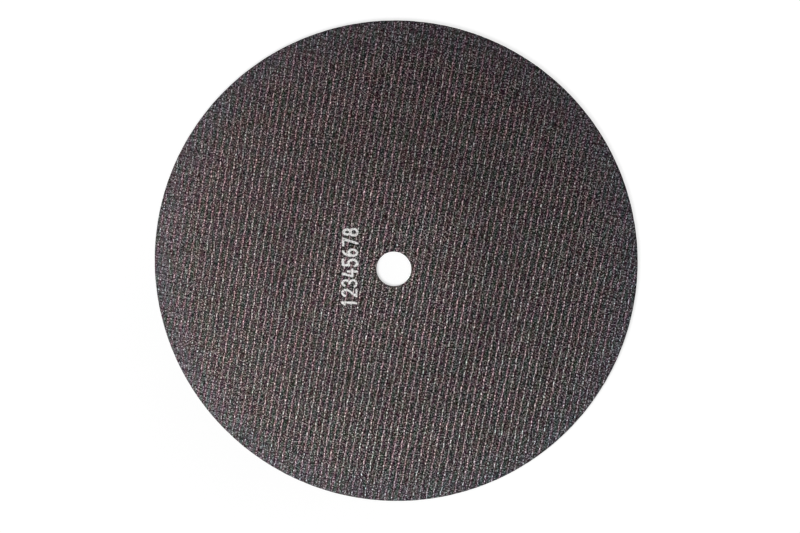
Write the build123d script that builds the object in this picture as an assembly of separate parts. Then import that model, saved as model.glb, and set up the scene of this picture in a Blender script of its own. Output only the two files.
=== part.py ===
from build123d import *
import math
import os

# A pressed abrasive cutting disc: a flat round plate of bonded grit with a round bore.
# An open glass-fibre mesh is pressed into each face. Its warp threads stand a little proud of
# the grit, as straight parallel ridges that stop just short of the rim and of the bore.
# Frame: the disc lies flat, front face up along +Z, with the origin on the bore's axis in the
# plane that the back face's ridges rest on. Lengths are in millimetres and angles in degrees.

# The plate
disc_diameter = 350.0
bore_diameter = 25.4
grit_thickness = 2.6

# The mesh threads that stand out of both faces
warp_pitch = 5.04
ridge_height = 0.2
ridge_foot_width = 1.5
ridge_crest_width = 0.8
ridge_root_depth = 0.5
rim_margin = 0.6
bore_margin = 0.6

# How each face's mesh lies, seen from outside that face with +Y up: the warp's lean from +Y to
# the right, and how far to the right of the bore's axis its middle thread passes
front_warp_lean = 10.5
front_warp_shift = -0.45
back_warp_lean = -31.0
back_warp_shift = 1.2

disc_radius = disc_diameter / 2
bore_radius = bore_diameter / 2
back_grit_z = ridge_height
front_grit_z = back_grit_z + grit_thickness
mesh_outer_radius = disc_radius - rim_margin
mesh_inner_radius = bore_radius + bore_margin


def ring(outer_radius, inner_radius, bottom, top):
    """A flat ring about the Z axis between two heights."""
    height = top - bottom
    at_bottom = (Align.CENTER, Align.CENTER, Align.MIN)
    outer = Cylinder(outer_radius, height, align=at_bottom)
    inner = Cylinder(inner_radius, height, align=at_bottom)
    return Pos(0, 0, bottom) * (outer - inner)


def grit_plate():
    """The bonded body between the feet of the two faces' ridges."""
    return ring(disc_radius, bore_radius, back_grit_z, front_grit_z)


def warp_shifts(middle_shift):
    """Distances of the warp threads from the bore's axis, for all that cross the mesh."""
    reach = mesh_outer_radius - ridge_foot_width
    first = math.ceil((-reach - middle_shift) / warp_pitch)
    last = math.floor((reach - middle_shift) / warp_pitch)
    return [middle_shift + number * warp_pitch for number in range(first, last + 1)]


def ridge_profile():
    """Section of one ridge, with its foot at height 0 and a root that sinks into the grit."""
    foot = ridge_foot_width / 2
    crest = ridge_crest_width / 2
    return Polygon(
        (-foot, -ridge_root_depth),
        (foot, -ridge_root_depth),
        (foot, 0),
        (crest, ridge_height),
        (-crest, ridge_height),
        (-foot, 0),
        align=None,
    )


def face_mesh(lean, middle_shift):
    """One face's ridges, standing on height 0, trimmed to the ring that the mesh covers."""
    far_side = Plane.XZ.offset(-disc_radius)
    bar = extrude(far_side * ridge_profile(), amount=disc_diameter)
    covered = ring(mesh_outer_radius, mesh_inner_radius, -ridge_root_depth, ridge_height)
    ridges = []
    for shift in warp_shifts(middle_shift):
        leaning_bar = Rot(0, 0, -lean) * Pos(shift, 0, 0) * bar
        ridges += (leaning_bar & covered).solids()
    return ridges


def abrasive_disc():
    """The whole disc as one solid: the plate with the ridges of both faces."""
    front_place = Pos(0, 0, front_grit_z)
    back_place = Pos(0, 0, back_grit_z) * Rot(0, 180, 0)
    front = [front_place * ridge for ridge in face_mesh(front_warp_lean, front_warp_shift)]
    back = [back_place * ridge for ridge in face_mesh(back_warp_lean, back_warp_shift)]
    return grit_plate().fuse(*front, *back)


os.makedirs("parts", exist_ok=True)
disc = abrasive_disc()
export_step(disc, "parts/abrasive_disc.step")
print("abrasive_disc", len(disc.solids()), "solid", round(disc.volume), "mm3")
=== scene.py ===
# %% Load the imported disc
import math

import bpy
import numpy as np
from mathutils import Matrix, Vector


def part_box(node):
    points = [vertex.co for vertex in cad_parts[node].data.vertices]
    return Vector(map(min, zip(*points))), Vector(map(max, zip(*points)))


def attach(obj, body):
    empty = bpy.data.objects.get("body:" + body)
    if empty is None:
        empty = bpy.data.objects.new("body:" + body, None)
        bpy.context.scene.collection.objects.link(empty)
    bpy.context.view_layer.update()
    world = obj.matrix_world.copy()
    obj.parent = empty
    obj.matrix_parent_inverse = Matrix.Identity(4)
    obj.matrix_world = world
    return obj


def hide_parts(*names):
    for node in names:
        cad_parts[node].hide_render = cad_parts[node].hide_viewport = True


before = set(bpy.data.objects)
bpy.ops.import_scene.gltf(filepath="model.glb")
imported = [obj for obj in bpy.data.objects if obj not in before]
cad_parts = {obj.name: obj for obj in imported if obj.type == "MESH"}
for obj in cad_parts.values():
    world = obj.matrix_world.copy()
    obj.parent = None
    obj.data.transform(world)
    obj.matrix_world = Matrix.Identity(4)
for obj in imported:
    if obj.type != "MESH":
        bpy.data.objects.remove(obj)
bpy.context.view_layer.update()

# %% [markdown]
# The disc is one pressed plate: abrasive grit in dark resin, with an open glass-fibre mesh in each
# face. Everything about it follows from a few sizes. The plate's sizes are read from the packed
# model, and the weave's own sizes are written here once. All lengths in this file are metres.

# %% Sizes of the plate and of the weave
MM = 0.001
lowest, highest = (np.array(corner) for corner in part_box("abrasive_disc"))
DISC_RADIUS = (highest[0] - lowest[0]) / 2
BORE_RADIUS = 12.7 * MM
THICKNESS = highest[2] - lowest[2]
THREAD_RISE = 0.2 * MM
MESH_MARGIN = 0.6 * MM
FACE_HEIGHT = THICKNESS - THREAD_RISE

WARP_PITCH = 5.04 * MM
WEFT_PITCH = 5.109 * MM
WEFT_SKEW = 3.04
ZIGZAG = 0.27 * MM

# %% [markdown]
# The fabric is a leno, or gauze, weave. Each warp line is two yarns. The ground yarn runs nearly
# straight under the wefts. The crossing yarn passes over every weft, on the left of the ground yarn
# at one weft and on its right at the next, and locks the open mesh. That is why each pale line on
# the disc zigzags, and why it is brightest where it climbs over a weft.
#
# A point of the face has two weave coordinates: how many warp pitches it is across, and how many
# pairs of wefts it is along. Both are a dot product with a fixed vector plus a constant, which numpy
# and a shader can work out alike, so the mesh's yarns and the resin's stains agree.


# %% The weave's coordinates on each face
class Weave:
    """One face's mesh: its lean from +Y to the right in degrees, and where its yarns pass."""

    def __init__(self, lean, warp_shift, weft_shift):
        warp_lean = math.radians(lean)
        weft_lean = math.radians(lean + WEFT_SKEW)
        self.across = np.array([math.cos(warp_lean), -math.sin(warp_lean)])
        self.along = np.array([math.sin(warp_lean), math.cos(warp_lean)])
        self.weft_along = np.array([math.cos(weft_lean), -math.sin(weft_lean)])
        self.weft_across = np.array([math.sin(weft_lean), math.cos(weft_lean)])
        self.warp_shift = warp_shift
        self.weft_shift = weft_shift

    def warps_across(self, x, y):
        """Distance across the warp over the pitch, whole at each warp line."""
        return (x * self.across[0] + y * self.across[1] - self.warp_shift) / WARP_PITCH

    def wefts_along(self, x, y):
        """Distance across the wefts over two pitches: whole or half at each weft."""
        reach = x * self.weft_across[0] + y * self.weft_across[1] - self.weft_shift
        return reach / (2 * WEFT_PITCH)


FRONT = Weave(lean=10.5, warp_shift=-0.454 * MM, weft_shift=-2.421 * MM)
BACK = Weave(lean=-31.0, warp_shift=1.2 * MM, weft_shift=0.9 * MM)
PLACES = {
    "front": (np.diag([1.0, 1.0, 1.0]), np.array([0, 0, FACE_HEIGHT])),
    "back": (np.diag([-1.0, 1.0, -1.0]), np.array([0, 0, THREAD_RISE])),
}
print("weave faces:", list(PLACES))


# %% [markdown]
# Every piece below is a grid of points worked out at once as arrays. One helper turns grids into a
# Blender mesh. It takes the points and the four corners of each face, and an optional place for each
# corner on a flat map, which keeps long thin yarns evenly spread when their finish is baked.

# %% From arrays to a mesh
def add_piece(name, points, quads, corner_uv=None):
    """A smooth-shaded mesh object at the origin from an array of points and one of quads."""
    mesh = bpy.data.meshes.new(name)
    mesh.vertices.add(len(points))
    mesh.vertices.foreach_set("co", np.ascontiguousarray(points, np.float32).ravel())
    mesh.loops.add(quads.size)
    mesh.loops.foreach_set("vertex_index", quads.astype(np.int32).ravel())
    mesh.polygons.add(len(quads))
    mesh.polygons.foreach_set("loop_start", np.arange(0, quads.size, 4, dtype=np.int32))
    mesh.update(calc_edges=True)
    mesh.polygons.foreach_set("use_smooth", np.ones(len(quads), bool))
    if corner_uv is not None:
        layer = mesh.uv_layers.new(name="OFBake")
        layer.data.foreach_set("uv", corner_uv.astype(np.float32).ravel())
    piece = bpy.data.objects.new(name, mesh)
    bpy.context.scene.collection.objects.link(piece)
    print(name, "has", 2 * len(quads), "triangles")
    return piece


def smooth_noise(x, y, size, seed):
    """Soft random swells: random heights on a square lattice, eased between by 3t^2 - 2t^3."""
    cells = 512
    heights = np.random.default_rng(seed).uniform(-1, 1, (cells, cells))
    gx, gy = np.asarray(x) / size, np.asarray(y) / size
    ix, iy = np.floor(gx).astype(int), np.floor(gy).astype(int)
    tx, ty = gx - ix, gy - iy
    tx, ty = tx * tx * (3 - 2 * tx), ty * ty * (3 - 2 * ty)
    low = heights[ix % cells, iy % cells] * (1 - tx) + heights[(ix + 1) % cells, iy % cells] * tx
    top = heights[ix % cells, (iy + 1) % cells] * (1 - tx)
    top = top + heights[(ix + 1) % cells, (iy + 1) % cells] * tx
    return low * (1 - ty) + top * ty


# %% [markdown]
# The plate is a closed ring: one profile carried round the axis. The profile goes out over the front
# face, down the rim, back under and up the bore. The pressed grit isn't quite flat, so the faces
# swell and sink by a few hundredths of a millimetre, and the rim is slightly ragged. The swells only
# go inwards, so the plate keeps its size.

# %% The grit plate
AROUND = 540
FRONT_RINGS = 112
BACK_RINGS = 50
WALL_RINGS = 5
EDGE_ROUND = 0.15 * MM
GRIT_SWELL = 0.05 * MM
RIM_RAG = 0.14 * MM
TINY = 0.001 * MM


def plate_profile():
    """Radii and heights once round the section, without repeating the first point."""
    inner, outer = BORE_RADIUS, DISC_RADIUS
    top, bottom = FACE_HEIGHT, THREAD_RISE
    out = np.linspace(inner + EDGE_ROUND, outer - EDGE_ROUND, FRONT_RINGS)
    back = np.linspace(outer - EDGE_ROUND, inner + EDGE_ROUND, BACK_RINGS)
    down = np.linspace(top - EDGE_ROUND, bottom + EDGE_ROUND, WALL_RINGS)
    radii = np.concatenate([out, np.full(WALL_RINGS, outer), back, np.full(WALL_RINGS, inner)])
    heights = np.concatenate(
        [np.full(FRONT_RINGS, top), down, np.full(BACK_RINGS, bottom), down[::-1]]
    )
    return radii, heights


def grit_plate():
    """The section carried round the axis: x = r cos a, y = r sin a, with swells on top."""
    radii, heights = plate_profile()
    angle = np.linspace(0, 2 * math.pi, AROUND, endpoint=False)
    radius = np.repeat(radii[:, None], AROUND, axis=1)
    height = np.repeat(heights[:, None], AROUND, axis=1)
    rag = smooth_noise(angle * DISC_RADIUS, height * 3, 1.6 * MM, seed=3)
    near_rim = radius > DISC_RADIUS - 2 * EDGE_ROUND
    radius = radius - near_rim * RIM_RAG * (0.5 + 0.5 * rag)
    x, y = radius * np.cos(angle), radius * np.sin(angle)
    swell = 0.5 + 0.25 * smooth_noise(x, y, 2.2 * MM, seed=5) + 0.25 * smooth_noise(x, y, 9 * MM, seed=6)
    from_middle = height - THICKNESS / 2
    on_face = np.abs(from_middle) > FACE_HEIGHT - THICKNESS / 2 - TINY
    height = height - np.sign(from_middle) * on_face * GRIT_SWELL * swell
    points = np.stack([x, y, height], -1).reshape(-1, 3)
    row = np.arange(len(radii))[:, None]
    column = np.arange(AROUND)[None, :]
    next_row, next_column = (row + 1) % len(radii), (column + 1) % AROUND
    quads = np.stack(
        [
            row * AROUND + column,
            next_row * AROUND + column,
            next_row * AROUND + next_column,
            row * AROUND + next_column,
        ],
        -1,
    ).reshape(-1, 4)
    return add_piece("grit_plate", points, quads)


plate = grit_plate()

# %% [markdown]
# A yarn is a low strand half sunk in the resin: a flat-bottomed, four-sided section carried along a
# path, and rounded by smooth shading. All yarns of one kind are one mesh. Each yarn runs from rim to
# rim, and those that meet the bore are two lengths.


# %% Yarns as strands
CROWN_SHARE = 0.52
EDGE_CLEARANCE = 0.3
RUN_MARGIN = 0.01
ROW_MARGIN = 0.1


def chords(pitch, shift):
    """The straight runs of one set of yarns: distance from the axis, start and end. A yarn nearer
    the mesh's edge than the clearance, in pitches, is left out."""
    outer, inner = DISC_RADIUS - MESH_MARGIN, BORE_RADIUS + MESH_MARGIN
    first = math.ceil((-outer - shift) / pitch + EDGE_CLEARANCE)
    last = math.floor((outer - shift) / pitch - EDGE_CLEARANCE)
    runs = []
    for number in range(first, last + 1):
        offset = shift + number * pitch
        half = math.sqrt(outer**2 - offset**2)
        if abs(offset) < inner:
            gap = math.sqrt(inner**2 - offset**2)
            runs += [(offset, -half, -gap), (offset, gap, half)]
        else:
            runs.append((offset, -half, half))
    return runs


def strand_rings(middle, sideways, half_width, crown, root):
    """Four points round the yarn at each step: the two feet and the two shoulders of its crown."""
    side = np.stack([sideways[0] * half_width, sideways[1] * half_width], -1)
    shoulder = CROWN_SHARE * side
    left_foot = np.column_stack([middle - side, root])
    left_crown = np.column_stack([middle - shoulder, crown])
    right_crown = np.column_stack([middle + shoulder, crown])
    right_foot = np.column_stack([middle + side, root])
    return np.stack([left_foot, left_crown, right_crown, right_foot], 1)


def strand_quads(steps, start):
    """Quads of one strand with closed ends, facing outwards, for rings of four points."""
    ring = np.arange(steps - 1)[:, None] * 4 + start
    corner = np.arange(4)[None, :]
    turn = (corner + 1) % 4
    sides = np.stack([ring + corner, ring + turn, ring + 4 + turn, ring + 4 + corner], -1)
    ends = np.array([[3, 2, 1, 0], [0, 1, 2, 3]])
    ends[1] += (steps - 1) * 4
    return np.concatenate([sides.reshape(-1, 4), ends + start])


def strand_map(quads, start, steps, row, rows):
    """Each strand is one level strip of the flat map, inside margins: run along it, girth up it."""
    local = quads - start
    run = (local // 4) / (steps - 1)
    girth = (local % 4) / 4
    wraps = (girth.max(1) - girth.min(1) > 0.6)[:, None] & (girth == 0)
    girth = np.where(wraps, 1.0, girth)
    run = RUN_MARGIN + (1 - 2 * RUN_MARGIN) * run
    girth = ROW_MARGIN + (1 - 2 * ROW_MARGIN) * girth
    return np.stack([run, (row + girth) / rows], -1)


def kept_on_mesh(flat):
    """Points past the mesh's edge are drawn straight in, or out from the bore, to the edge."""
    radius = np.hypot(*flat.T)
    edge = np.clip(radius, BORE_RADIUS + MESH_MARGIN / 2, DISC_RADIUS - MESH_MARGIN / 2)
    return flat * (edge / radius)[:, None]


def yarns(name, place, runs, step, directions, shape):
    """One mesh of all the runs. shape(x, y) gives sideways shift, half width, crown and root."""
    along, across = directions
    turn, shift = PLACES[place]
    points, quads, maps, count = [], [], [], 0
    for row, (offset, start, end) in enumerate(runs):
        steps = max(3, int((end - start) / step) + 1)
        travel = np.linspace(start, end, steps)[:, None]
        straight = across * offset + along * travel
        sway, half_width, crown, root = shape(straight[:, 0], straight[:, 1])
        middle = straight + across * sway[:, None]
        rings = strand_rings(middle, across, half_width, crown, root).reshape(-1, 3)
        rings[:, :2] = kept_on_mesh(rings[:, :2])
        faces = strand_quads(steps, count)
        maps.append(strand_map(faces, count, steps, row, len(runs)))
        points.append(rings @ turn.T + shift)
        quads.append(faces)
        count += len(rings)
    return add_piece(name, np.concatenate(points), np.concatenate(quads), np.concatenate(maps))


# %% [markdown]
# The crossing yarn sways to the left at even wefts and to the right at odd ones, as a cosine along
# the cloth, and it rises over every weft. The ground yarn sways a little the other way and is
# lowest where the crossing yarn is highest. The wefts lie deepest and hardly break the surface.
# Pressing flattens and buries the yarns unevenly, so slow noise lowers them in patches.

# %% The three kinds of yarn, on both faces
CROSSING_STEP = 0.84 * MM
STRAIGHT_STEP = 2.6 * MM
YARN_ROOT = -0.12 * MM
FRONT_SEED = 20
BACK_SEED = 60


def crossing_shape(weave, seed):
    """Sideways: minus a cosine of the wefts. Height: half of one plus a cosine twice as fast."""

    def shape(x, y):
        phase = 2 * math.pi * weave.wefts_along(x, y)
        rise = 0.5 + 0.5 * np.cos(2 * phase)
        wander = smooth_noise(x, y, 9 * MM, seed) * 0.05 * MM
        buried = 0.5 + 0.5 * smooth_noise(x, y, 26 * MM, seed + 1)
        crown = (0.07 + 0.11 * rise - 0.04 * buried) * MM
        half_width = (0.41 + 0.06 * rise + 0.04 * smooth_noise(x, y, 3 * MM, seed + 2)) * MM
        return wander - ZIGZAG * np.cos(phase), half_width, crown, np.full(x.shape, YARN_ROOT)

    return shape


def ground_shape(weave, seed):
    """Sideways: a small sway against the crossing yarn. Height: low under each weft."""

    def shape(x, y):
        phase = 2 * math.pi * weave.wefts_along(x, y)
        rise = 0.5 - 0.5 * np.cos(2 * phase)
        sway = 0.08 * MM * np.cos(phase) + smooth_noise(x, y, 7 * MM, seed) * 0.07 * MM
        crown = (-0.01 + 0.07 * rise) * MM
        return sway, np.full(x.shape, 0.36 * MM), crown, np.full(x.shape, YARN_ROOT)

    return shape


def weft_shape(seed):
    """Sideways: a slight wander. Height: just level with the grit, in patches."""

    def shape(x, y):
        sway = smooth_noise(x, y, 11 * MM, seed) * 0.16 * MM
        crown = (-0.005 + 0.03 * smooth_noise(x, y, 14 * MM, seed + 1)) * MM
        return sway, np.full(x.shape, 0.62 * MM), crown, np.full(x.shape, YARN_ROOT)

    return shape


threads = {}
for place, weave, seed in (("front", FRONT, FRONT_SEED), ("back", BACK, BACK_SEED)):
    warp_runs = chords(WARP_PITCH, weave.warp_shift)
    weft_runs = chords(WEFT_PITCH, weave.weft_shift)
    warp_way = (weave.along, weave.across)
    weft_way = (weave.weft_along, weave.weft_across)
    for kind, runs, step, way, shape in (
        ("crossing_yarns", warp_runs, CROSSING_STEP, warp_way, crossing_shape(weave, seed)),
        ("ground_yarns", warp_runs, STRAIGHT_STEP, warp_way, ground_shape(weave, seed + 5)),
        ("weft_yarns", weft_runs, STRAIGHT_STEP, weft_way, weft_shape(seed + 9)),
    ):
        name = f"{place}_{kind}"
        threads[name] = yarns(name, place, runs, step, way, shape)

# %% [markdown]
# Near the bore the front face is stamped in white ink, along a line beside the hole. Here it carries
# a plain count of digits. Each digit is a few strokes of a pen path. The ink is a fine lattice over
# each digit's field: its squares are kept where they lie within half a stroke of the path, less a
# ragged edge and the spots that the stamp missed. Corners near the ink's edge are moved onto it. The
# lattice lies over the grit and the yarns.

# %% The ink row
DIGIT_HEIGHT = 10.2 * MM
DIGIT_WIDTH = 4.9 * MM
DIGIT_PITCH = 7.4 * MM
STROKE = 1.7 * MM
INK_LEAN = 1.5
INK_MIDDLE = np.array([-31.9, 0.9]) * MM
INK_SQUARE = 0.17 * MM
INK_LIFT = 0.015 * MM
PEN_STEP = 0.1 * MM
INK_RAG = 0.2 * MM
INK_MISSED = 0.72


def arc(cx, cy, rx, ry, start, end):
    """Points of an ellipse's arc between two angles in degrees."""
    angle = np.radians(np.linspace(start, end, 14))
    return np.column_stack([cx + rx * np.cos(angle), cy + ry * np.sin(angle)])


def line(*corners):
    return np.array(corners, float)


# Pen paths on a field one wide and one high
DIGIT_STROKES = {
    "1": [line((0.28, 0.82), (0.55, 1.0), (0.55, 0.0))],
    "2": [np.vstack([arc(0.5, 0.72, 0.45, 0.28, 160, -35), line((0.05, 0.0), (0.98, 0.0))])],
    "3": [arc(0.45, 0.75, 0.42, 0.25, 150, -90), arc(0.45, 0.25, 0.48, 0.25, 90, -150)],
    "4": [line((0.30, 1.0), (0.02, 0.32), (1.0, 0.32)), line((0.72, 0.62), (0.72, 0.0))],
    "5": [np.vstack([line((0.9, 1.0), (0.15, 1.0), (0.1, 0.55)), arc(0.45, 0.31, 0.5, 0.31, 125, -150)])],
    "6": [np.vstack([arc(0.75, 0.45, 0.7, 0.55, 100, 180), arc(0.5, 0.3, 0.45, 0.3, 180, 540)])],
    "7": [line((0.02, 1.0), (0.98, 1.0), (0.38, 0.0))],
    "8": [arc(0.5, 0.75, 0.38, 0.25, 90, 450), arc(0.5, 0.26, 0.48, 0.26, 90, 450)],
}


def evenly_spaced(path, spacing):
    """Points all along a path of corners, so close that the nearest of them stands for the path."""
    gaps = np.hypot(*np.diff(path, axis=0).T)
    length = np.concatenate([[0], np.cumsum(gaps)])
    at = np.linspace(0, length[-1], max(2, int(length[-1] / spacing) + 1))
    return np.column_stack([np.interp(at, length, path[:, 0]), np.interp(at, length, path[:, 1])])


def thread_top(x, y):
    """Height of the front warp yarns over a point: level over the crown, then down to the root."""
    top = np.zeros(x.shape)
    from_line = FRONT.warps_across(x, y)
    from_line = (from_line - np.round(from_line)) * WARP_PITCH
    for shape in (crossing_shape(FRONT, FRONT_SEED), ground_shape(FRONT, FRONT_SEED + 5)):
        sway, half_width, crown, root = shape(x, y)
        aside = np.abs(from_line - sway) / half_width
        fall = np.clip((aside - CROWN_SHARE) / (1 - CROWN_SHARE), 0, 1)
        top = np.maximum(top, crown + (root - crown) * fall)
    return top


def digit_ink(digit, middle):
    """Corners and squares of one digit's ink, whose field's middle is this far along the row."""
    lean = math.radians(INK_LEAN)
    forward = np.array([math.sin(lean), math.cos(lean)])
    upward = np.array([-math.cos(lean), math.sin(lean)])
    half = np.array([DIGIT_WIDTH, DIGIT_HEIGHT]) / 2
    across, up = (np.arange(-edge - STROKE, edge + STROKE, INK_SQUARE) for edge in half)
    field = np.stack(np.meshgrid(across, up, indexing="ij"), -1)
    strokes = [(stroke - 0.5) * 2 * half for stroke in DIGIT_STROKES[digit]]
    path = np.vstack([evenly_spaced(stroke, PEN_STEP) for stroke in strokes])
    to_pen = np.linalg.norm(field[:, :, None] - path, axis=-1).min(2)
    flat = INK_MIDDLE + (field[..., :1] + middle) * forward + field[..., 1:] * upward
    x, y = flat[..., 0], flat[..., 1]
    outside = to_pen + INK_RAG * smooth_noise(x, y, 0.5 * MM, seed=80) - STROKE / 2
    missed = -INK_MISSED - smooth_noise(x, y, 0.7 * MM, seed=81)
    outside = np.maximum(outside, missed * 0.5 * MM)
    slope = np.stack(np.gradient(outside, INK_SQUARE), -1)
    pull = -outside[..., None] * slope / np.maximum((slope**2).sum(-1, keepdims=True), 0.1)
    furthest = 0.6 * INK_SQUARE
    at_edge = np.abs(outside) < furthest
    pull = np.where(at_edge[..., None], np.clip(pull, -furthest, furthest), 0)
    flat = flat + pull[..., :1] * forward + pull[..., 1:] * upward
    x, y = flat[..., 0], flat[..., 1]
    inked = (outside < 0) | at_edge
    height = FACE_HEIGHT + INK_LIFT + thread_top(x, y)
    points = np.concatenate([flat, height[..., None]], -1).reshape(-1, 3)
    number = np.arange(inked.size).reshape(inked.shape)
    corners = (slice(None, -1), slice(1, None))
    order = [(0, 0), (0, 1), (1, 1), (1, 0)]
    square = np.stack([number[corners[i], corners[j]] for i, j in order], -1).reshape(-1, 4)
    square = square[inked.reshape(-1)[square].all(1)]
    used, again = np.unique(square, return_inverse=True)
    return points[used], again.reshape(square.shape)


def ink_row(text):
    """The digits of a text one after another, read upwards."""
    points, quads, count = [], [], 0
    for place, digit in enumerate(text):
        corners, squares = digit_ink(digit, (place - len(text) / 2 + 0.5) * DIGIT_PITCH)
        points.append(corners)
        quads.append(squares + count)
        count += len(corners)
    return add_piece("ink_digits", np.concatenate(points), np.concatenate(quads))


ink = ink_row("12345678")

# %% [markdown]
# The materials are node graphs on object coordinates. A few short helpers keep the graphs readable:
# each returns the output socket of one node.


# %% Small shader helpers
def to_linear(r, g, b):
    """An 8-bit display colour as Blender's linear colour."""
    return tuple(((c / 255 + 0.055) / 1.055) ** 2.4 for c in (r, g, b)) + (1.0,)


class Graph:
    """A material's node tree with one method for each kind of node used here."""

    def __init__(self, name):
        self.material = bpy.data.materials.new(name)
        self.material.use_nodes = True
        self.nodes = self.material.node_tree.nodes
        self.links = self.material.node_tree.links
        self.shader = self.nodes["Principled BSDF"]
        self.place = self.node("ShaderNodeTexCoord").outputs["Object"]

    def node(self, kind, **settings):
        made = self.nodes.new(kind)
        for key, value in settings.items():
            setattr(made, key, value)
        return made

    def feed(self, socket, value):
        """A link from a socket, or a constant. A vector socket leaves a colour's alpha out."""
        if isinstance(value, bpy.types.NodeSocket):
            self.links.new(value, socket)
        elif isinstance(value, tuple):
            socket.default_value = value[:len(socket.default_value)]
        else:
            socket.default_value = value

    def math(self, operation, *values, clamp=False):
        made = self.node("ShaderNodeMath", operation=operation, use_clamp=clamp)
        for socket, value in zip(made.inputs, values):
            self.feed(socket, value)
        return made.outputs[0]

    def dot(self, direction, constant):
        """A straight-line coordinate: the place's dot product with a vector, plus a constant."""
        made = self.node("ShaderNodeVectorMath", operation="DOT_PRODUCT")
        self.feed(made.inputs[0], self.place)
        made.inputs[1].default_value = direction
        return self.math("ADD", made.outputs["Value"], constant)

    def noise(self, size, detail=2.0, rough=0.5, place=None, output="Fac"):
        made = self.node("ShaderNodeTexNoise")
        self.feed(made.inputs["Vector"], place or self.place)
        made.inputs["Scale"].default_value = 1 / size
        made.inputs["Detail"].default_value = detail
        made.inputs["Roughness"].default_value = rough
        return made.outputs[output]

    def grains(self, size, feature="F1", output="Color"):
        made = self.node("ShaderNodeTexVoronoi", feature=feature)
        self.feed(made.inputs["Vector"], self.place)
        made.inputs["Scale"].default_value = 1 / size
        return made.outputs[output]

    def range(self, value, low, high, to_low=0.0, to_high=1.0):
        made = self.node("ShaderNodeMapRange")
        made.clamp = True
        for socket, item in zip(made.inputs, (value, low, high, to_low, to_high)):
            self.feed(socket, item)
        return made.outputs[0]

    def mix(self, amount, first, second, blend="MIX"):
        made = self.node("ShaderNodeMix", data_type="RGBA", blend_type=blend)
        self.feed(made.inputs["Factor"], amount)
        self.feed(made.inputs["A"], first)
        self.feed(made.inputs["B"], second)
        return made.outputs["Result"]

    def channel(self, colour, number):
        made = self.node("ShaderNodeSeparateColor")
        self.feed(made.inputs[0], colour)
        return made.outputs[number]

    def scaled(self, colour, level):
        made = self.node("ShaderNodeVectorMath", operation="SCALE")
        self.feed(made.inputs[0], colour)
        self.feed(made.inputs["Scale"], level)
        return made.outputs[0]

    def bump(self, height, strength, distance):
        made = self.node("ShaderNodeBump")
        made.inputs["Strength"].default_value = strength
        made.inputs["Distance"].default_value = distance
        self.feed(made.inputs["Height"], height)
        self.links.new(made.outputs[0], self.shader.inputs["Normal"])

    def finish(self, colour, roughness, gloss):
        self.feed(self.shader.inputs["Base Color"], colour)
        self.shader.inputs["Roughness"].default_value = roughness
        self.shader.inputs["Specular IOR Level"].default_value = gloss
        return self.material


# %% [markdown]
# Marks that follow the weave are placed by two coordinates, worked out in the shader from the same
# vectors as the yarns. The first is a whole number on every warp line, and the second on every other
# weft. Beside each warp line the resin squeezed out by the yarn leaves a brown stain, and where the
# crossing yarn bulges, the shade of a pit on its outer side is painted dark.

# %% Marks that follow the weave
TURN = 2 * math.pi
PIT_SHIFT = 0.31
# Where the marks fade, in warp pitches from their middle
STAIN_FADE = (0.16, 0.28)
PIT_FADE = (0.05, 0.13)
# How near the wefts' cosine comes to one in a pit
PIT_AT_WEFT = (0.82, 0.96)


def weave_coordinates(graph, weave, mirrored):
    """The two weave coordinates as shader outputs. The back face is seen mirrored in x."""
    flip = -1.0 if mirrored else 1.0
    across = weave.across / WARP_PITCH * [flip, 1]
    along = weave.weft_across / (2 * WEFT_PITCH) * [flip, 1]
    warp = graph.dot((*across, 0), -weave.warp_shift / WARP_PITCH)
    weft = graph.dot((*along, 0), -weave.weft_shift / (2 * WEFT_PITCH))
    return warp, weft


def weave_marks(graph, weave, mirrored):
    """Masks of the brown stain beside each warp line and of the painted shade in the pits outside
    its bulges.
    """
    warp, weft = weave_coordinates(graph, weave, mirrored)
    swing = graph.math("COSINE", graph.math("MULTIPLY", weft, TURN))
    centred = graph.math("SUBTRACT", graph.math("FRACT", graph.math("ADD", warp, 0.5)), 0.5)
    from_line = graph.math("ABSOLUTE", centred)
    stain = graph.range(from_line, *STAIN_FADE, 1.0, 0.0)
    aside = graph.math("ABSOLUTE", graph.math("MULTIPLY_ADD", swing, PIT_SHIFT, centred))
    beside = graph.range(aside, *PIT_FADE, 1.0, 0.0)
    at_weft = graph.range(graph.math("ABSOLUTE", swing), *PIT_AT_WEFT)
    return stain, graph.math("MULTIPLY", beside, at_weft)


# %% [markdown]
# Some changes are slow. The face is dimmer on a ring halfway out, its level tilts a little across the
# disc as painted light and shade, its colour tilts too, and the rim is bluish. A painted sheen evens
# out the grains on the left, and they are evened out at the rim as well.

# %% Slow changes across the face
# Places are in disc radii from the axis
# The level's tilt across the disc is painted light and shade, for the grit and for the yarns
GRIT_LIGHT_TILT = (-0.02, -0.05, -0.09)
YARN_LIGHT_TILT = (0.106, -0.208, -0.43)
RED_TILT = (-0.025, 0.046)
BLUE_TILT = (0.018, 0.021)
PLAIN = (1.0, 1.0, 1.0, 1.0)
BLUISH = (0.91, 1.0, 1.10, 1.0)
DIM_RING = 0.47
DIM_RING_WIDTH = 0.20
DIM_LEVEL = 0.85
LIT_RIM = 0.74
LIT_RIM_POWER = 1.5
BORE_ZONE = (0.08, 0.13)
BORE_SHARE = 0.5
COLOURED_RIM = 0.84
# How far a painted sheen evens out the grains on the left, and how far they are evened out at the rim
LEFT_SHEEN = 0.20
RIM_HAZE = 0.35


def reach_of(graph, sideways=1.0, ahead=1.0):
    """Nought on the axis and one at the rim, on circles or on slightly flattened ones."""
    flat = graph.node("ShaderNodeVectorMath", operation="MULTIPLY")
    graph.feed(flat.inputs[0], graph.place)
    flat.inputs[1].default_value = (sideways / DISC_RADIUS, ahead / DISC_RADIUS, 0)
    reach = graph.node("ShaderNodeVectorMath", operation="LENGTH")
    graph.feed(reach.inputs[0], flat.outputs[0])
    return reach.outputs["Value"]


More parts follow.
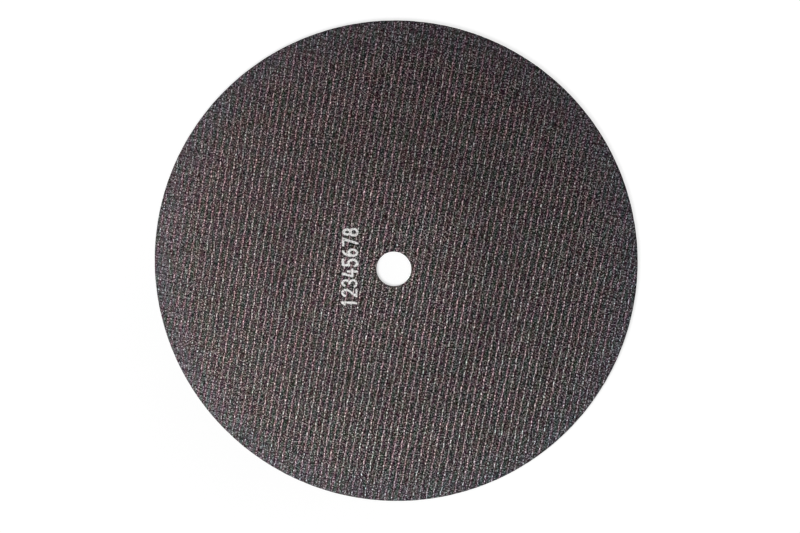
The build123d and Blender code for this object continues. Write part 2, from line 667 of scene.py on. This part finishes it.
def slope(graph, right, ahead, middle):
    """A value that changes by these amounts from the middle to the rim, rightwards and ahead."""
    return graph.dot((right / DISC_RADIUS, ahead / DISC_RADIUS, 0), middle)


def zone_level(graph, rim_change, tilt):
    """Lighter or darker by place: a dim ring, a change at the rim and the bore, and a tilt of
    painted light and shade, 1 + a x + b y + c x y, with x and y in disc radii."""
    reach = reach_of(graph, 1.08, 0.92)
    from_ring = graph.math("ABSOLUTE", graph.math("SUBTRACT", reach, DIM_RING))
    ring = graph.range(from_ring, 0.0, DIM_RING_WIDTH, DIM_LEVEL, 1.0)
    at_rim = graph.math("POWER", graph.range(reach, LIT_RIM, 1.0), LIT_RIM_POWER)
    at_bore = graph.range(reach, *BORE_ZONE, BORE_SHARE, 0.0)
    change = graph.math("MULTIPLY_ADD", graph.math("ADD", at_rim, at_bore), rim_change, 1.0)
    # The tilt is painted light and shade
    right, ahead, both = tilt
    x_times_y = graph.math("MULTIPLY", slope(graph, 1, 0, 0), slope(graph, 0, 1, 0))
    tilted = graph.math("MULTIPLY_ADD", x_times_y, both, slope(graph, right, ahead, 1))
    return graph.math("MULTIPLY", graph.math("MULTIPLY", ring, change), tilted)


def sheen_haze(graph):
    """How far the grains are evened out: towards the left by a painted sheen, and at the rim."""
    leftward = graph.range(slope(graph, -1, 0, 0), 0.1, 0.9, 0.0, LEFT_SHEEN)
    at_rim = graph.range(reach_of(graph), 0.86, 1.0, 0.0, RIM_HAZE)
    return graph.math("ADD", leftward, at_rim)


def slow_casts(graph, colour):
    """The bluish rim, and red and blue that tilt across the disc."""
    at_rim = graph.range(reach_of(graph), COLOURED_RIM, 1.0)
    colour = graph.mix(1.0, colour, graph.mix(at_rim, PLAIN, BLUISH), blend="MULTIPLY")
    tilt = graph.node("ShaderNodeCombineXYZ")
    graph.feed(tilt.inputs[0], slope(graph, *RED_TILT, 1))
    tilt.inputs[1].default_value = 1.0
    graph.feed(tilt.inputs[2], slope(graph, *BLUE_TILT, 1))
    return graph.mix(1.0, colour, tilt.outputs[0], blend="MULTIPLY")


# %% [markdown]
# Other changes are quick: the face is tinted in short lengths along the warp. One tint swings between
# green and red, and a weaker one between yellow and blue. Each swing is a wave across the warp lines
# whose height and place drift from one length to the next, so where a line is redder, the grit beside
# it is mostly greener. A tint both multiplies the colour and is added to it, which makes it as plain
# on dark grains as on pale ones.

# %% Tints along the warp
GREENER = ((0.89, 1.025, 0.99, 1.0), (0.0, 0.0105, 0.0035, 1.0))
REDDER = ((1.11, 0.975, 1.01, 1.0), (0.013, 0.0, 0.0045, 1.0))
YELLOWER = ((1.01, 1.0, 0.955, 1.0), (0.002, 0.003, 0.0, 1.0))
BLUER = ((0.995, 1.0, 1.05, 1.0), (0.0, 0.0, 0.005, 1.0))
GREEN_RED_LENGTH = 8.5 * MM
GREEN_RED_REACH = 1.2
YELLOW_BLUE_LENGTH = 7.7 * MM
YELLOW_BLUE_REACH = 1.4
ASIDE_SHARE = 0.9
LEVEL_SHARE = 0.45


def drifts(graph, size):
    """Three slow noises, each from minus one to one."""
    noises = graph.noise(size, 0.0, output="Color")
    return [graph.range(graph.channel(noises, number), 0.3, 0.7, -1.0, 1.0) for number in range(3)]


def tinted(graph, colour, amount, low, high):
    """The colour times one tint, plus another. Low and high are such pairs of tints."""
    colour = graph.mix(1.0, colour, graph.mix(amount, low[0], high[0]), blend="MULTIPLY")
    return graph.mix(1.0, colour, graph.mix(amount, low[1], high[1]), blend="ADD")


def casts(graph, colour, warp):
    """The tints along the warp and the slow casts."""
    turn = graph.math("MULTIPLY", warp, TURN)
    on_line = graph.math("COSINE", turn)
    aside = graph.math("SINE", turn)
    first, second, third = drifts(graph, GREEN_RED_LENGTH)
    swing = graph.math("MULTIPLY", first, on_line)
    swing = graph.math("MULTIPLY_ADD", second, graph.math("MULTIPLY", aside, ASIDE_SHARE), swing)
    swing = graph.math("MULTIPLY_ADD", third, LEVEL_SHARE, swing)
    to_red = graph.range(swing, -GREEN_RED_REACH, GREEN_RED_REACH)
    colour = tinted(graph, colour, to_red, GREENER, REDDER)
    first, second, _ = drifts(graph, YELLOW_BLUE_LENGTH)
    swing = graph.math("MULTIPLY_ADD", first, aside, second)
    to_blue = graph.range(swing, -YELLOW_BLUE_REACH, YELLOW_BLUE_REACH)
    colour = tinted(graph, colour, to_blue, YELLOWER, BLUER)
    return slow_casts(graph, colour)


# %% [markdown]
# The bonded grit is dark, with crumbs of every level between near black and mid grey. On top of them
# every grain is a little lighter or darker, there is a scatter of pale crystals, and there is one of
# pores that are painted black as their shade. The crumbs are a gradient noise. Where such a noise is
# cut along a plane of its lattice, it has only quick changes and no slow swells, so the lattice is
# stretched in height until both faces of the plate lie in such planes.

# %% The bonded grit
GRAIN = 0.64 * MM
CRUMB = 0.98 * MM
CRUMB_LAYERS = 2
CRUMB_RANGE = (0.37, 0.69)
CRUMB_POWER = 3.0
CRUMB_LEVEL = 7.0
# The level that the painted sheen and the rim's haze even the grains out to
SHEEN_HAZE_LEVEL = 1.02
GAP_WIDTH = 0.16
PALE_CHANCE = (0.95, 0.98)
PORE_SIZE = 1.4 * GRAIN
PORE_CHANCE = (0.91, 0.93)
FACET = 0.45 * MM
GRIT_RELIEF = 0.2 * MM
GRIT_RIM_CHANGE = 0.50
PIT_SHADE_STRENGTH = 0.9
STAIN_STRENGTH = 0.85
GRIT_BASE = to_linear(85, 81, 80)
STAIN = to_linear(80, 62, 64)
# Painted shade in the pits beside the bulges
PIT_SHADE = to_linear(26, 24, 24)
PALE_GRAIN = to_linear(170, 164, 162)
# Painted shade in the pores
PORE_SHADE = to_linear(2, 2, 2)


def crumbs(graph):
    """Noise that lies in layers, with a plane of its lattice in each face."""
    layers = graph.node("ShaderNodeVectorMath", operation="MULTIPLY_ADD")
    graph.feed(layers.inputs[0], graph.place)
    stretch = CRUMB_LAYERS * CRUMB / (FACE_HEIGHT - THREAD_RISE)
    layers.inputs[1].default_value = (1.0, 1.0, stretch)
    layers.inputs[2].default_value = (0.0, 0.0, -THREAD_RISE * stretch)
    return graph.noise(CRUMB, 1.0, place=layers.outputs[0])


def grain_gaps(graph):
    """Nought in the resin between two grains, and one on a grain."""
    return graph.range(graph.grains(GRAIN, "DISTANCE_TO_EDGE", "Distance"), 0.0, GAP_WIDTH)


def grain_colour(graph, base):
    """The base colour made lighter or darker by crumbs and grains, evened out by the painted sheen and
    the rim's haze, with pale crystals and the painted shade of pores.
    """
    grain = graph.grains(GRAIN)
    shade = graph.math("POWER", graph.range(crumbs(graph), *CRUMB_RANGE), CRUMB_POWER)
    level = graph.math("MULTIPLY", shade, CRUMB_LEVEL)
    facet = graph.math("MULTIPLY_ADD", graph.channel(grain, 0), 0.7, 0.65)
    level = graph.math("MULTIPLY", level, facet)
    level = graph.math("MULTIPLY", level, graph.math("MULTIPLY_ADD", grain_gaps(graph), 0.4, 0.6))
    # The grains are evened out towards one level: a painted sheen on the left, and a haze at the rim
    to_sheen_haze = graph.math("SUBTRACT", SHEEN_HAZE_LEVEL, level)
    level = graph.math("MULTIPLY_ADD", to_sheen_haze, sheen_haze(graph), level)
    pale = graph.range(graph.channel(grain, 1), *PALE_CHANCE)
    # Pores are painted black, as their shade
    pore_shade = graph.range(graph.channel(graph.grains(PORE_SIZE), 2), *PORE_CHANCE)
    return graph.mix(pore_shade, graph.mix(pale, graph.scaled(base, level), PALE_GRAIN), PORE_SHADE)


def grit_material():
    graph = Graph("bonded_grit")
    upper = graph.math("GREATER_THAN", graph.dot((0, 0, 1), 0.0), THICKNESS / 2)
    front_stain, front_pit_shade = weave_marks(graph, FRONT, mirrored=False)
    back_stain, back_pit_shade = weave_marks(graph, BACK, mirrored=True)
    stain = graph.mix(upper, back_stain, front_stain)
    pit_shade = graph.mix(upper, back_pit_shade, front_pit_shade)
    front_warp = weave_coordinates(graph, FRONT, mirrored=False)[0]
    back_warp = weave_coordinates(graph, BACK, mirrored=True)[0]
    warp = graph.mix(upper, back_warp, front_warp)
    base = graph.mix(graph.math("MULTIPLY", stain, STAIN_STRENGTH), GRIT_BASE, STAIN)
    # The pits beside the bulges get painted shade
    colour = graph.mix(graph.math("MULTIPLY", pit_shade, PIT_SHADE_STRENGTH), grain_colour(graph, base), PIT_SHADE)
    colour = graph.scaled(colour, zone_level(graph, GRIT_RIM_CHANGE, GRIT_LIGHT_TILT))
    colour = casts(graph, colour, warp)
    facets = graph.math("MULTIPLY", graph.noise(FACET, 3.0, 0.6), 1.2)
    relief = graph.math("ADD", facets, graph.math("MULTIPLY", grain_gaps(graph), 0.5))
    graph.bump(relief, 0.8, GRIT_RELIEF)
    return graph.finish(colour, roughness=0.65, gloss=0.02)


# %% [markdown]
# The yarns are glass soaked in a reddish resin. Light and dark beads run along them, from a gradient
# noise whose lattice has planes along the warp lines, for the reason told above, and the light beads
# are whitened as painted glints. Each place where a warp line passes over a weft is a knot. There the
# crossing yarn stands highest and is painted paler as a highlight, and the ground yarn lies lowest and
# is painted darker as shade, some knots by chance more than others, and in patches every second one
# more than the one between. Grit and dust cover a part of each yarn grain by grain. Fine streaks run
# along every yarn.

# %% The yarns
YARN_RED = to_linear(150, 117, 123)
YARN_PALE = to_linear(151, 150, 149)
YARN_COVERED = to_linear(72, 63, 64)
YARN_GLOW = (0.010, 0.0, 0.003, 1.0)
BEADS_PER_PITCH = 4.0
BACK_LAYER = 40.0
BEAD_RANGE = (0.40, 0.60)
BEAD_POWER = 1.4
BEAD_LEVEL = 2.48
KNOT_FADE = (0.60, 0.95)
BEAT_SIZE = 50 * MM
BEAT_DRIFT = 8.0
BEAT_CHANGE = -0.15
PALE_STRETCH = 6 * MM
FIBRE_WIDTH = 0.15 * MM
FIBRE_LENGTH = 2.5 * MM
YARN_LUMP = 0.5 * MM
YARN_RELIEF = 0.08 * MM
YARN_RIM_CHANGE = -0.12


def fibres(graph, across, along):
    """Fine streaks: noise on coordinates that are stretched along the yarn."""
    stretched = graph.node("ShaderNodeCombineXYZ")
    graph.feed(stretched.inputs[0], graph.dot((*across / FIBRE_WIDTH, 0), 0.0))
    graph.feed(stretched.inputs[1], graph.dot((*along / FIBRE_LENGTH, 0), 0.0))
    return graph.noise(1.0, 2.0, 0.6, place=stretched.outputs[0])


def beads(graph, warp, weft, layer):
    """Noise laid in weave coordinates, with planes of its lattice along the warp lines."""
    lattice = graph.node("ShaderNodeCombineXYZ")
    graph.feed(lattice.inputs[0], graph.math("MULTIPLY", warp, BEADS_PER_PITCH))
    graph.feed(lattice.inputs[1], graph.math("MULTIPLY", weft, 2 * BEADS_PER_PITCH))
    graph.feed(lattice.inputs[2], layer)
    return graph.noise(1.0, 1.0, 0.7, place=lattice.outputs[0])


def knot_light_level(graph, warp, weft, low, high):
    """How far a place is on a weft, and its level: low off the wefts, and by chance about high on
    one, with a beat that has two wefts to a wave and drifts slowly. The step from low to high is
    painted light and shade at the knot."""
    turn = graph.math("MULTIPLY", weft, TURN)
    on_weft = graph.range(graph.math("ABSOLUTE", graph.math("COSINE", turn)), *KNOT_FADE)
    knot = graph.node("ShaderNodeCombineXYZ")
    graph.feed(knot.inputs[0], graph.math("ROUND", warp))
    graph.feed(knot.inputs[1], graph.math("ROUND", graph.math("MULTIPLY", weft, 2.0)))
    chance = graph.node("ShaderNodeTexWhiteNoise")
    graph.feed(chance.inputs["Vector"], knot.outputs[0])
    peak = graph.range(chance.outputs["Value"], 0.0, 1.0, 0.8 * high, 1.2 * high)
    # Painted light and shade: the level steps from low to high on the wefts
    level = graph.mix(on_weft, (low, low, low, 1.0), peak)
    drift = graph.math("MULTIPLY", graph.noise(BEAT_SIZE, 0.0), BEAT_DRIFT)
    beat = graph.math("COSINE", graph.math("ADD", turn, drift))
    return on_weft, graph.math("MULTIPLY", level, graph.math("MULTIPLY_ADD", beat, BEAT_CHANGE, 1.0))


def bare_colour(graph, bead, on_weft):
    """Rosy resin that is paler in some stretches, and whiter on the wefts and on light beads as a
    painted highlight.
    """
    hue = graph.range(graph.noise(PALE_STRETCH, 0.0), 0.3, 0.7, 0.2, 0.5)
    hue = graph.math("MULTIPLY_ADD", on_weft, 0.10, hue)
    # Whiter on the wefts and on light beads: painted highlights and glints
    hue = graph.math("ADD", hue, graph.range(bead, 0.50, 0.64, 0.0, 0.55))
    return graph.mix(hue, YARN_RED, YARN_PALE)


def yarn_material(name, weave, mirrored, bareness, low, high):
    """Bareness is how much of the yarn shows; low and high are its levels off and on a weft, whose
    step is painted light and shade at the knots.
    """
    graph = Graph(name)
    is_weft = "weft" in name
    warp, weft = weave_coordinates(graph, weave, mirrored)
    on_weft, level = knot_light_level(graph, warp, weft, low, high)
    bead = beads(graph, warp, weft, BACK_LAYER if mirrored else 0.0)
    flip = [-1.0, 1.0] if mirrored else [1.0, 1.0]
    ways = (weave.weft_across, weave.weft_along) if is_weft else (weave.across, weave.along)
    streaks = fibres(graph, *(way * flip for way in ways))
    shade = graph.math("POWER", graph.range(bead, *BEAD_RANGE), BEAD_POWER)
    shade = graph.math("MULTIPLY", shade, BEAD_LEVEL)
    shade = graph.math("MULTIPLY", shade, graph.range(streaks, 0.3, 0.7, 0.8, 1.2))
    shade = graph.math("MULTIPLY", shade, level)
    bare = graph.scaled(bare_colour(graph, bead, on_weft), shade)
    covered = graph.range(reach_of(graph), COLOURED_RIM, 1.0, 0.36 - bareness, 0.61 - bareness)
    clear_by = graph.math("SUBTRACT", graph.channel(graph.grains(GRAIN), 0), covered)
    shown = graph.range(clear_by, -0.04, 0.04)
    colour = graph.mix(shown, grain_colour(graph, YARN_COVERED), bare)
    if is_weft:
        # The pits' painted shade lies on the wefts too
        pit_shade = weave_marks(graph, weave, mirrored)[1]
        colour = graph.mix(graph.math("MULTIPLY", pit_shade, PIT_SHADE_STRENGTH), colour, PIT_SHADE)
    graph.bump(graph.math("ADD", streaks, graph.noise(YARN_LUMP, 2.0, 0.6)), 0.5, YARN_RELIEF)
    colour = graph.scaled(colour, zone_level(graph, YARN_RIM_CHANGE, YARN_LIGHT_TILT))
    colour = casts(graph, graph.mix(1.0, colour, YARN_GLOW, blend="ADD"), warp)
    return graph.finish(colour, roughness=0.55, gloss=0.03)


# %% [markdown]
# The ink is white, with greyer worn patches. After it, every piece gets its finish.

# %% The ink, and a finish for every piece
INK_WORN = to_linear(150, 145, 145)
INK_FULL = to_linear(248, 247, 246)
INK_PATCH = 0.8 * MM
INK_LUMP = 0.6 * MM
INK_RELIEF = 0.1 * MM


def ink_material():
    graph = Graph("white_ink")
    wear = graph.range(graph.noise(INK_PATCH, 3.0, 0.7), 0.36, 0.48)
    colour = graph.mix(wear, INK_WORN, INK_FULL)
    graph.bump(graph.noise(INK_LUMP, 2.0, 0.6), 0.4, INK_RELIEF)
    return graph.finish(colour, roughness=0.7, gloss=0.05)


# Each kind of yarn's bareness, and its levels off and on a weft, whose step is painted light and shade
LOOKS = {
    "crossing_yarns": (0.32, 1.25, 1.35),
    "ground_yarns": (0.22, 1.1, 0.8),
    "weft_yarns": (-0.42, 0.4, 0.4),
}
finishes = {}
for place, weave in (("front", FRONT), ("back", BACK)):
    for kind, (bareness, low, high) in LOOKS.items():
        name = f"{place}_{kind}"
        finishes[name] = yarn_material(name + "_glass", weave, place == "back", bareness, low, high)
plate.data.materials.append(grit_material())
ink.data.materials.append(ink_material())
for name, piece in threads.items():
    piece.data.materials.append(finishes[name])

# %% Tie every piece to the disc
for piece in (plate, ink, *threads.values()):
    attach(piece, "root")
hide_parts("abrasive_disc")

# %% [markdown]
# One soft box above the lower left gives the face its bright side and its dark side, because its
# light falls off across the disc. A weak even world fills the shadows.
#
# The disc lies on a pale floor. Seen directly, or in a reflection, the floor is a blend of a matte
# surface, which takes the shadow, and a glow. The glow makes up what the lamp's fall-off takes from
# the matte part, so the bare floor is an even white and only the shadow is darker.

# %% The lamp's place and the floor
KEY_PLACE = np.array([-0.155, -0.136, 0.355])
KEY_SIZE = 0.20
KEY_POWER = 1.38
FILL = 0.115
FLOOR_HALF = 4.0
FLOOR_WHITE = 0.8
FLOOR_MATTE_SHARE = 0.6
FLOOR_SEEN = 1.02


def floor_glow(graph):
    """What the floor is seen as, a shade over white, less the matte share's own light, which is
    power cos(lamp) cos(floor) / (pi distance)^2."""
    to_lamp = graph.node("ShaderNodeVectorMath", operation="SUBTRACT")
    to_lamp.inputs[0].default_value = KEY_PLACE
    graph.feed(to_lamp.inputs[1], graph.place)
    span = graph.node("ShaderNodeVectorMath", operation="LENGTH")
    graph.feed(span.inputs[0], to_lamp.outputs[0])
    facing = graph.node("ShaderNodeVectorMath", operation="DOT_PRODUCT")
    graph.feed(facing.inputs[0], to_lamp.outputs[0])
    facing.inputs[1].default_value = KEY_PLACE / np.linalg.norm(KEY_PLACE)
    lit = graph.math("DIVIDE", facing.outputs["Value"], graph.math("POWER", span.outputs["Value"], 4))
    lamp_share = KEY_POWER * KEY_PLACE[2] / math.pi**2
    matte = FLOOR_WHITE * FLOOR_MATTE_SHARE
    dim = graph.math("MULTIPLY_ADD", lit, -matte * lamp_share, FLOOR_SEEN - matte * FILL)
    return graph.math("DIVIDE", graph.math("MAXIMUM", dim, 0.0), 1 - FLOOR_MATTE_SHARE)


def floor_material():
    graph = Graph("pale_floor")
    graph.finish((FLOOR_WHITE, FLOOR_WHITE, FLOOR_WHITE, 1.0), roughness=0.9, gloss=0.0)
    path = graph.node("ShaderNodeLightPath")
    seen = graph.math("MAXIMUM", path.outputs["Is Camera Ray"], path.outputs["Is Glossy Ray"])
    seen = graph.math("MAXIMUM", seen, path.outputs["Is Transmission Ray"])
    glow = graph.node("ShaderNodeEmission")
    graph.feed(glow.inputs["Strength"], floor_glow(graph))
    blend = graph.node("ShaderNodeMixShader")
    graph.feed(blend.inputs[0], graph.math("MULTIPLY", seen, 1 - FLOOR_MATTE_SHARE))
    graph.links.new(graph.shader.outputs[0], blend.inputs[1])
    graph.links.new(glow.outputs[0], blend.inputs[2])
    output = graph.nodes["Material Output"]
    graph.links.new(blend.outputs[0], output.inputs["Surface"])
    return graph.material


floor_points = np.array([[-1, -1, 0], [1, -1, 0], [1, 1, 0], [-1, 1, 0]]) * FLOOR_HALF
floor = add_piece("floor", floor_points, np.array([[0, 1, 2, 3]]))
floor.data.materials.append(floor_material())

# %% [markdown]
# The photograph was taken from almost straight above, a little towards the top edge. The camera's
# place and turn were worked out from the ellipses of the rim and the bore, in units of the disc's
# radius, with x to the right, y down and z into the picture.

# %% The camera
IMAGE_WIDTH = 800
FOCAL_PIXELS = 754
SENSOR_WIDTH = 36.0
TILT_X, TILT_Y = math.radians(6.31), math.radians(1.82)
DISC_FROM_CAMERA = np.array([-0.0259, 0.0111, 3.1188]) * DISC_RADIUS


def camera_turn():
    """The turn about x times the turn about y, whose rows are the camera's right, down and ahead."""
    cx, sx, cy, sy = math.cos(TILT_X), math.sin(TILT_X), math.cos(TILT_Y), math.sin(TILT_Y)
    about_x = np.array([[1, 0, 0], [0, cx, -sx], [0, sx, cx]])
    about_y = np.array([[cy, 0, sy], [0, 1, 0], [-sy, 0, cy]])
    return about_x @ about_y


to_world = np.diag([1, -1, -1])
turn = camera_turn()
right, down, ahead = to_world @ turn[0], to_world @ turn[1], to_world @ turn[2]
middle_of_face = np.array([0, 0, THICKNESS])
eye = middle_of_face - to_world @ (turn.T @ DISC_FROM_CAMERA)
lens = bpy.data.cameras.new("camera")
lens.sensor_width = SENSOR_WIDTH
lens.lens = SENSOR_WIDTH * FOCAL_PIXELS / IMAGE_WIDTH
camera = bpy.data.objects.new("camera", lens)
bpy.context.scene.collection.objects.link(camera)
pose = np.eye(4)
pose[:3, 0], pose[:3, 1], pose[:3, 2], pose[:3, 3] = right, -down, -ahead, eye
camera.matrix_world = Matrix(pose.tolist())
bpy.context.scene.camera = camera
print("camera at", eye.round(4))

# %% The lights
def add_key():
    """A square lamp at its place that faces the middle of the disc."""
    lamp = bpy.data.lights.new("key", "AREA")
    lamp.shape = "SQUARE"
    lamp.size = KEY_SIZE
    lamp.energy = KEY_POWER
    made = bpy.data.objects.new("key", lamp)
    bpy.context.scene.collection.objects.link(made)
    behind = KEY_PLACE / np.linalg.norm(KEY_PLACE)
    side = np.cross([0, 0, 1], behind)
    side /= np.linalg.norm(side)
    pose = np.eye(4)
    pose[:3, 0], pose[:3, 1], pose[:3, 2], pose[:3, 3] = side, np.cross(behind, side), behind, KEY_PLACE
    made.matrix_world = Matrix(pose.tolist())
    made.visible_camera = False


def add_world():
    """An even white world: full white where it is seen, and the weak fill where it lights."""
    world = bpy.data.worlds.new("even_fill")
    world.use_nodes = True
    nodes, links = world.node_tree.nodes, world.node_tree.links
    path = nodes.new("ShaderNodeLightPath")
    seen = path.outputs["Is Camera Ray"]
    for ray in ("Is Glossy Ray", "Is Transmission Ray"):
        either = nodes.new("ShaderNodeMath")
        either.operation = "MAXIMUM"
        links.new(seen, either.inputs[0])
        links.new(path.outputs[ray], either.inputs[1])
        seen = either.outputs[0]
    strength = nodes.new("ShaderNodeMapRange")
    strength.inputs["To Min"].default_value = FILL
    strength.inputs["To Max"].default_value = 1.0
    links.new(seen, strength.inputs["Value"])
    background = nodes["Background"]
    background.inputs["Color"].default_value = (1, 1, 1, 1)
    links.new(strength.outputs[0], background.inputs["Strength"])
    bpy.context.scene.world = world


add_key()
add_world()
bpy.context.scene.view_settings.view_transform = "Standard"
